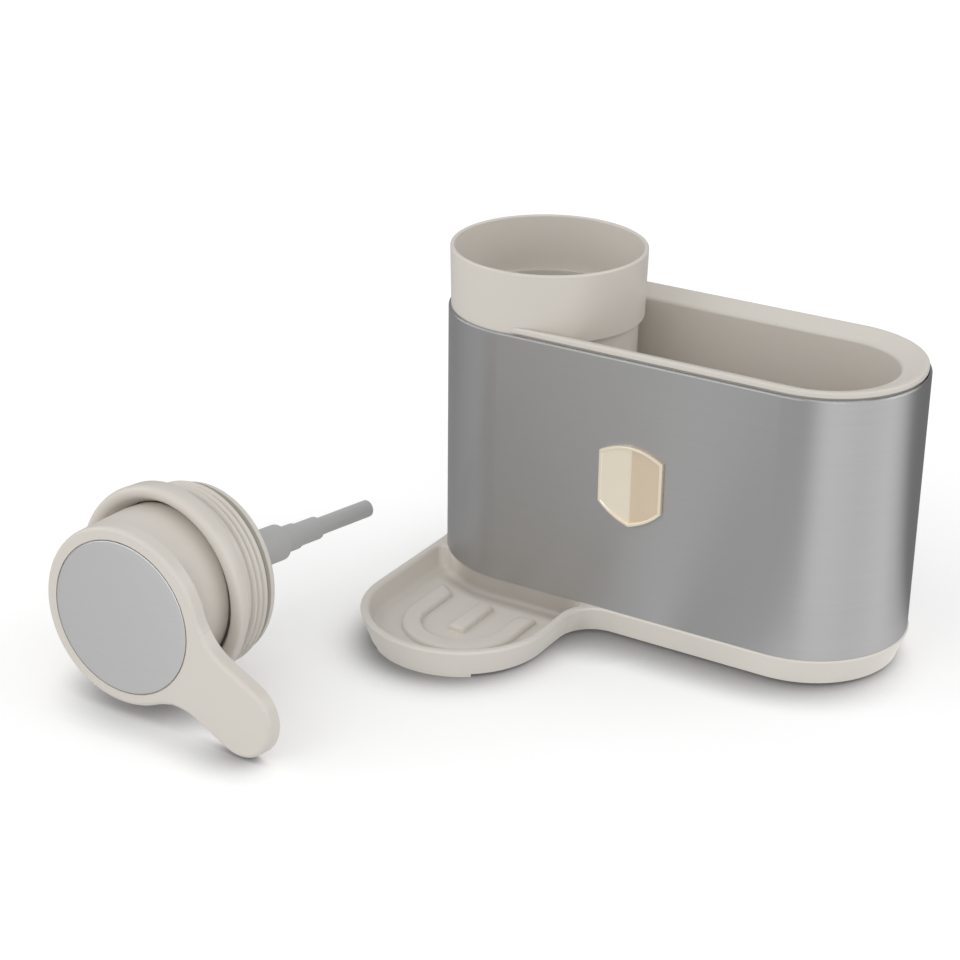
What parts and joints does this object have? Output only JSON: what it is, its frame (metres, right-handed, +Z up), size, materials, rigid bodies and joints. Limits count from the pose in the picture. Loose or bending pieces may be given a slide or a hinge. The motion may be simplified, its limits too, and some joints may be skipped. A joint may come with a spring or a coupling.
{
  "type": "soap pump caddy",
  "caption": "Oblong kitchen caddy: steel sleeve on a moulded base with a round soap dish, an open sponge pocket, a lift-out soap bottle and its pump lying beside it.",
  "frame": {"origin": "on the table under the centre of the sleeve's outline, at the middle foot", "axes": "+X along the sleeve towards the open pocket, -Y towards the soap dish, +Z up"},
  "size_m": [0.2731, 0.2326, 0.1439],
  "materials": {
    "cream_plastic": "satin moulded plastic, warm off-white",
    "brushed_steel": "fine brushed stainless steel",
    "bare_steel": "plain stainless steel",
    "pale_gold": "pale gold metal, satin",
    "grey_rubber": "dark grey soft seal",
    "grey_plastic": "plain grey plastic"
  },
  "bodies": {
    "caddy": {"base_tray": "cream_plastic", "base_screws": "bare_steel", "steel_sleeve": "brushed_steel", "holder_liner": "cream_plastic", "badge_plate": "pale_gold"},
    "bottle": {"soap_bottle": "cream_plastic"},
    "pump": {"closure_collar": "cream_plastic", "seal_ring": "grey_rubber", "plug_base": "cream_plastic", "cylinder_gasket": "grey_rubber", "pump_cylinder": "grey_plastic", "inlet_ball": "bare_steel", "dip_tube": "grey_plastic", "stem_guide": "grey_plastic", "return_spring": "bare_steel"},
    "plunger": {"pump_stem": "grey_plastic", "outlet_ball": "bare_steel", "piston": "grey_plastic"},
    "head": {"pump_head": "cream_plastic", "head_disc": "brushed_steel", "spout_cover": "cream_plastic", "spout_nozzle": "cream_plastic"}
  },
  "joints": [
    {"name": "bottle_lift", "type": "slide", "parent": "caddy", "child": "bottle", "axis": [0, 0, 1], "range_m": [0, 0.11]},
    {"name": "pump_lift", "type": "slide", "parent": "caddy", "child": "pump", "axis": [0, 0, 1], "range_m": [0, 0.1]},
    {"name": "pump_press", "type": "slide", "parent": "pump", "child": "plunger", "axis": [0.1128, 0.9899, -0.0854], "range_m": [0, 0.008], "stiffness_N_per_m": 500, "springref_m": -0.008, "deforming": ["return_spring"]},
    {"name": "head_swivel", "type": "hinge", "parent": "plunger", "child": "head", "pos_m": [-0.1323, -0.1554, 0.03975], "axis": [-0.1128, -0.9899, 0.0854], "continuous": true}
  ]
}
